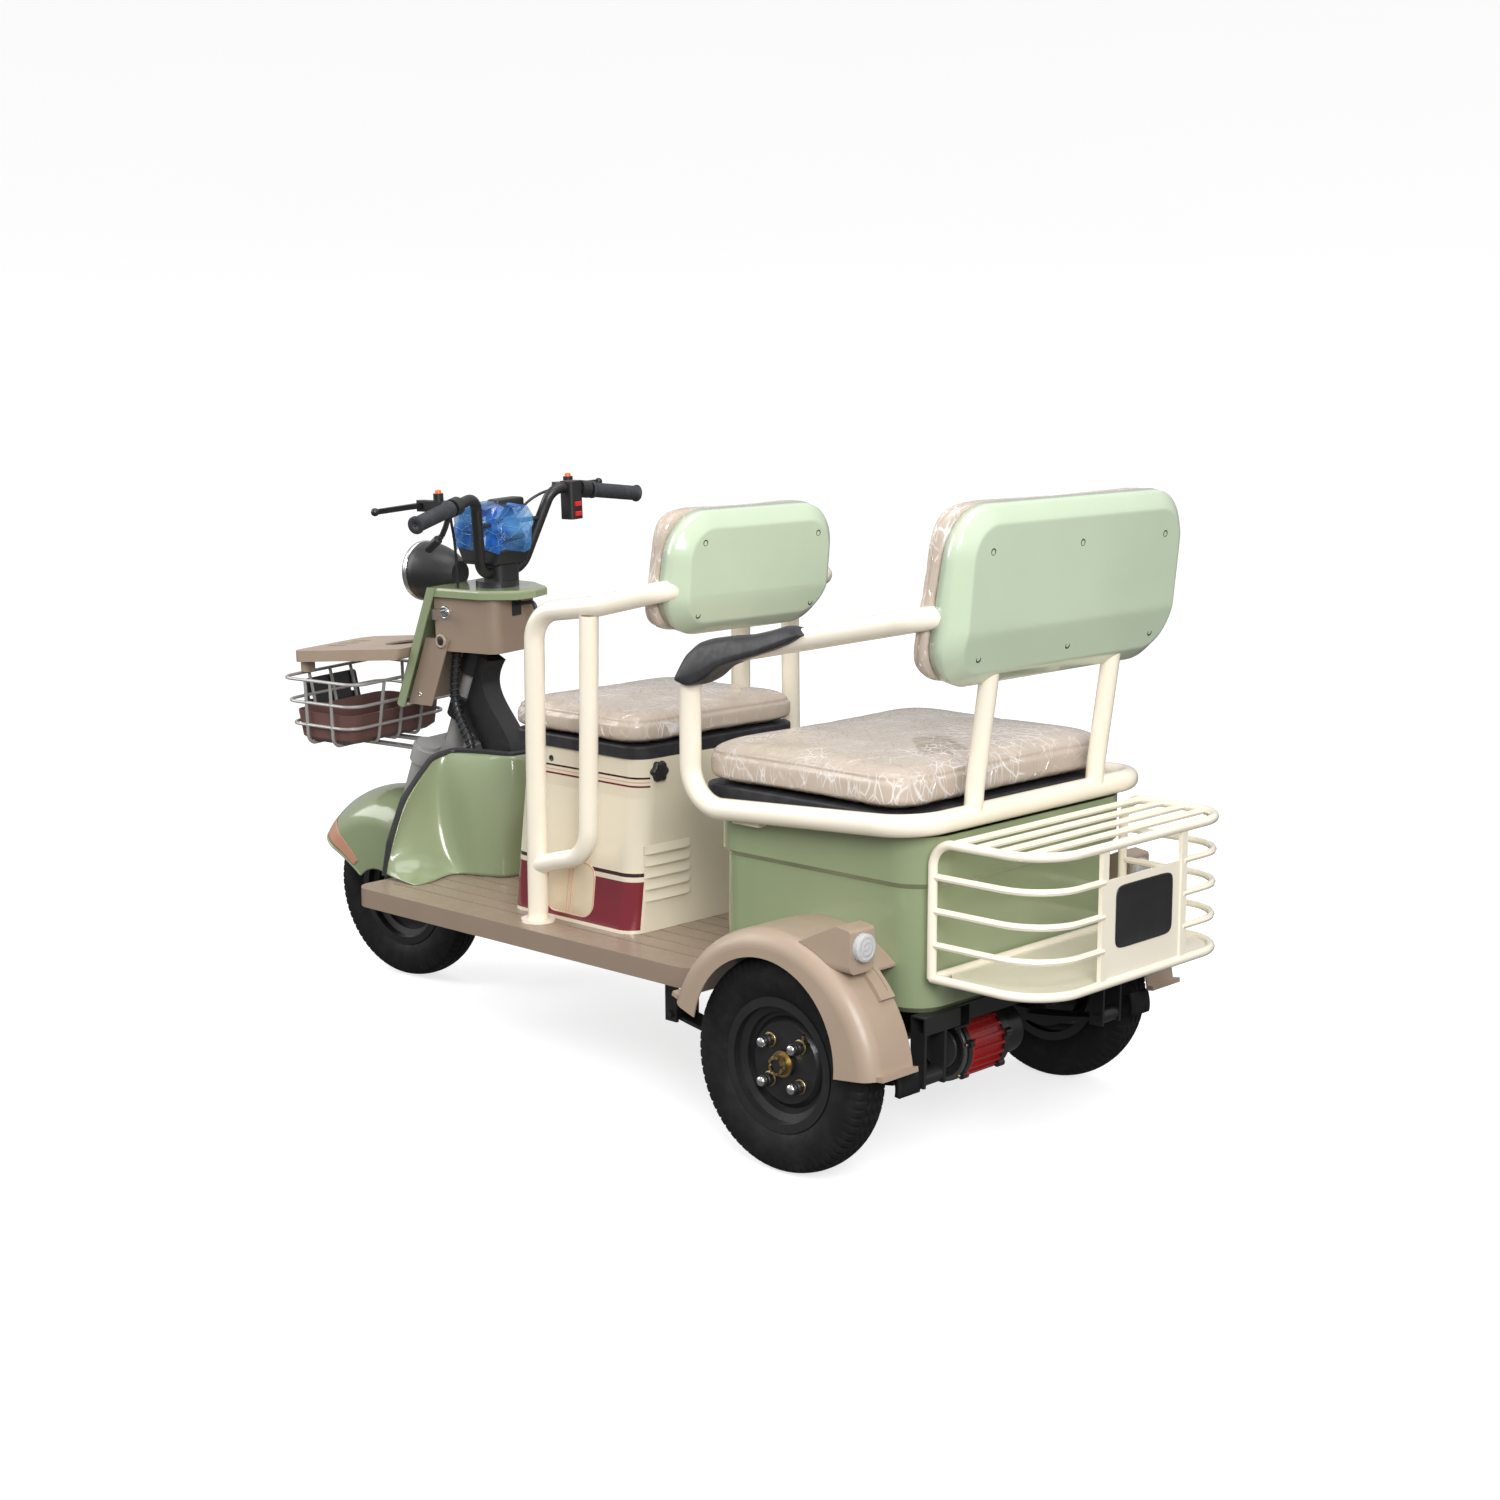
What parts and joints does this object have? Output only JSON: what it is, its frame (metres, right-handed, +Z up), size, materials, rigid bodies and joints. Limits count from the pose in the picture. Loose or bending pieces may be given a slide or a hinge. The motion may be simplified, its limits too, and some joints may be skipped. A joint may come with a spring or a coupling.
{
  "type": "electric vending tricycle",
  "caption": "Electric three-wheeled runabout with a driver's seat over a battery box, a rear bench over a storage tub, a front wire basket and a rear goods basket.",
  "frame": {"origin": "middle of the bounding box on the ground", "axes": "+X to the rider's left, +Y backward, +Z up; the tricycle faces -Y"},
  "size_m": [0.864, 2.1182, 1.1218],
  "materials": {
    "green_panel": "gloss moulded, sage green",
    "green_steel": "gloss paint, sage green",
    "tan_plastic": "satin moulded, beige",
    "cream_plastic": "gloss moulded, cream, with wine-red bands",
    "cream_steel": "gloss paint, cream",
    "black_steel": "satin paint, black",
    "black_plastic": "satin moulded, black",
    "arm_skin": "smooth moulded skin, black",
    "seat_cover": "grained imitation leather, beige",
    "tyre_rubber": "moulded tread",
    "grip_rubber": "smooth rubber, black",
    "bright_steel": "bright plated",
    "silver_steel": "silver grey",
    "zinc_steel": "olive zinc",
    "cast_alloy": "as cast",
    "motor_paint": "gloss paint, red case and black covers",
    "liner_brown": "satin moulded, brown",
    "clear_lens": "clear faceted",
    "red_plastic": "gloss moulded, red",
    "battery_case": "satin moulded"
  },
  "bodies": {
    "chassis": {"main_frame": "black_steel", "steering_neck": "black_steel", "footboard_front": "tan_plastic", "footboard_rear": "tan_plastic", "leg_shield": "green_panel", "leg_shield_trim": "black_plastic", "wiring_loom": "black_plastic", "seat_box": "cream_plastic", "battery_pack": "battery_case", "motor_controller": "cast_alloy", "driver_frames": "cream_steel", "driver_backrest_shell": "green_panel", "driver_backrest_cushion": "seat_cover", "rear_tub": "green_panel", "rear_rail": "cream_steel", "armrest_pad_left": "arm_skin", "rear_backrest_shell": "green_panel", "rear_backrest_cushion": "seat_cover", "rear_fenders": "tan_plastic", "tail_lamp_lenses": "clear_lens", "rear_basket": "cream_steel", "rear_springs": "black_steel"},
    "driver_seat": {"driver_seat_base": "black_plastic", "driver_seat_cushion": "seat_cover"},
    "rear_seat": {"rear_seat_base": "black_plastic", "rear_seat_cushion": "seat_cover"},
    "right_armrest": {"armrest_right": "cream_steel", "armrest_pad_right": "arm_skin"},
    "rear_axle": {"axle_housing": "black_steel", "drive_motor": "motor_paint"},
    "brake_arms": {"rear_brake_arms": "zinc_steel"},
    "left_rear_wheel": {"rear_wheel_left": "black_steel", "rear_tyre_left": "tyre_rubber"},
    "right_rear_wheel": {"rear_wheel_right": "black_steel", "rear_tyre_right": "tyre_rubber"},
    "steering": {"front_fork": "silver_steel", "handlebar": "black_steel", "instrument_cluster": "black_plastic", "control_clamps": "black_plastic", "grip_left": "grip_rubber", "brake_cables": "black_plastic", "front_fairing": "green_panel", "dash_box": "tan_plastic", "bag_hook": "black_plastic", "headlight_shell": "black_plastic", "headlight_lens": "clear_lens", "front_basket": "silver_steel", "basket_liner": "liner_brown", "basket_shelf": "tan_plastic", "front_plate_holder": "black_steel", "front_fender": "green_steel"},
    "key": {"ignition_key": "bright_steel"},
    "throttle": {"throttle_grip": "grip_rubber"},
    "left_lever": {"brake_lever_left": "black_steel"},
    "right_lever": {"brake_lever_right": "black_steel"},
    "light_switch": {"light_rocker": "red_plastic"},
    "reverse_switch": {"reverse_rocker": "red_plastic"},
    "sliders": {"fork_sliders": "black_steel"},
    "front_roller": {"front_wheel": "black_steel", "front_tyre": "tyre_rubber"}
  },
  "joints": [
    {"name": "steering", "type": "hinge", "parent": "chassis", "child": "steering", "pos_m": [0, -0.8218, 0.1862], "axis": [0, 0.3907, 0.9205], "range_deg": [-46, 34]},
    {"name": "fork_slide", "type": "slide", "parent": "steering", "child": "sliders", "axis": [0, 0.3907, 0.9205], "range_m": [-0.015, 0.03], "stiffness_N_per_m": 14000, "springref_m": -0.02071},
    {"name": "front_wheel_spin", "type": "hinge", "parent": "sliders", "child": "front_roller", "pos_m": [0.00088, -0.83086, 0.18618], "axis": [0.9945, 0.0962, -0.0408], "continuous": true},
    {"name": "throttle_twist", "type": "hinge", "parent": "steering", "child": "throttle", "pos_m": [-0.32588, -0.45825, 1.04031], "axis": [0.9879, -0.1124, 0.1069], "range_deg": [0, 65], "stiffness_Nm_per_rad": 0.15},
    {"name": "left_lever_pull", "type": "hinge", "parent": "steering", "child": "left_lever", "pos_m": [0.20355, -0.52053, 1.03938], "axis": [0.0408, 0.002, 0.9992], "range_deg": [0, 18], "stiffness_Nm_per_rad": 2, "springref_deg": -5.73},
    {"name": "right_lever_pull", "type": "hinge", "parent": "steering", "child": "right_lever", "pos_m": [-0.18745, -0.55836, 1.05543], "axis": [-0.0408, -0.002, -0.9992], "range_deg": [0, 18], "stiffness_Nm_per_rad": 2, "springref_deg": -5.73},
    {"name": "light_switch_rock", "type": "hinge", "parent": "steering", "child": "light_switch", "pos_m": [-0.15871, -0.46271, 1.02675], "axis": [0.9945, 0.0962, -0.0408], "range_deg": [-7, 7]},
    {"name": "reverse_switch_rock", "type": "hinge", "parent": "steering", "child": "reverse_switch", "pos_m": [-0.15953, -0.46275, 1.00676], "axis": [0.9945, 0.0962, -0.0408], "range_deg": [-7, 7]},
    {"name": "key_turn", "type": "hinge", "parent": "steering", "child": "key", "pos_m": [0.08168, -0.59924, 0.81275], "axis": [0.9945, 0.0962, -0.0408], "range_deg": [0, 90]},
    {"name": "driver_seat_lift", "type": "hinge", "parent": "chassis", "child": "driver_seat", "pos_m": [0, -0.2435, 0.6], "axis": [1, 0, 0], "range_deg": [0, 75]},
    {"name": "rear_seat_lift", "type": "hinge", "parent": "chassis", "child": "rear_seat", "pos_m": [0, 0.3345, 0.569], "axis": [1, 0, 0], "range_deg": [0, 70]},
    {"name": "armrest_lift", "type": "hinge", "parent": "chassis", "child": "right_armrest", "pos_m": [-0.318, 0.7811, 0.92341], "axis": [-1, 0, 0], "range_deg": [0, 85]},
    {"name": "rear_spring", "type": "slide", "parent": "chassis", "child": "rear_axle", "axis": [0, 0, 1], "range_m": [-0.02, 0.02], "stiffness_N_per_m": 40000, "springref_m": -0.014, "deforming": ["rear_springs"]},
    {"name": "left_wheel_spin", "type": "hinge", "parent": "rear_axle", "child": "left_rear_wheel", "pos_m": [0.3685, 0.6131, 0.1862], "axis": [1, 0, 0], "continuous": true},
    {"name": "right_wheel_spin", "type": "hinge", "parent": "rear_axle", "child": "right_rear_wheel", "pos_m": [-0.3685, 0.6131, 0.1862], "axis": [1, 0, 0], "continuous": true},
    {"name": "brake_arm_pull", "type": "hinge", "parent": "rear_axle", "child": "brake_arms", "pos_m": [0, 0.6591, 0.2262], "axis": [1, 0, 0], "range_deg": [0, 9]}
  ],
  "couplings": [
    {"joint": "brake_arm_pull", "follows": "left_lever_pull", "ratio": 0.5}
  ]
}
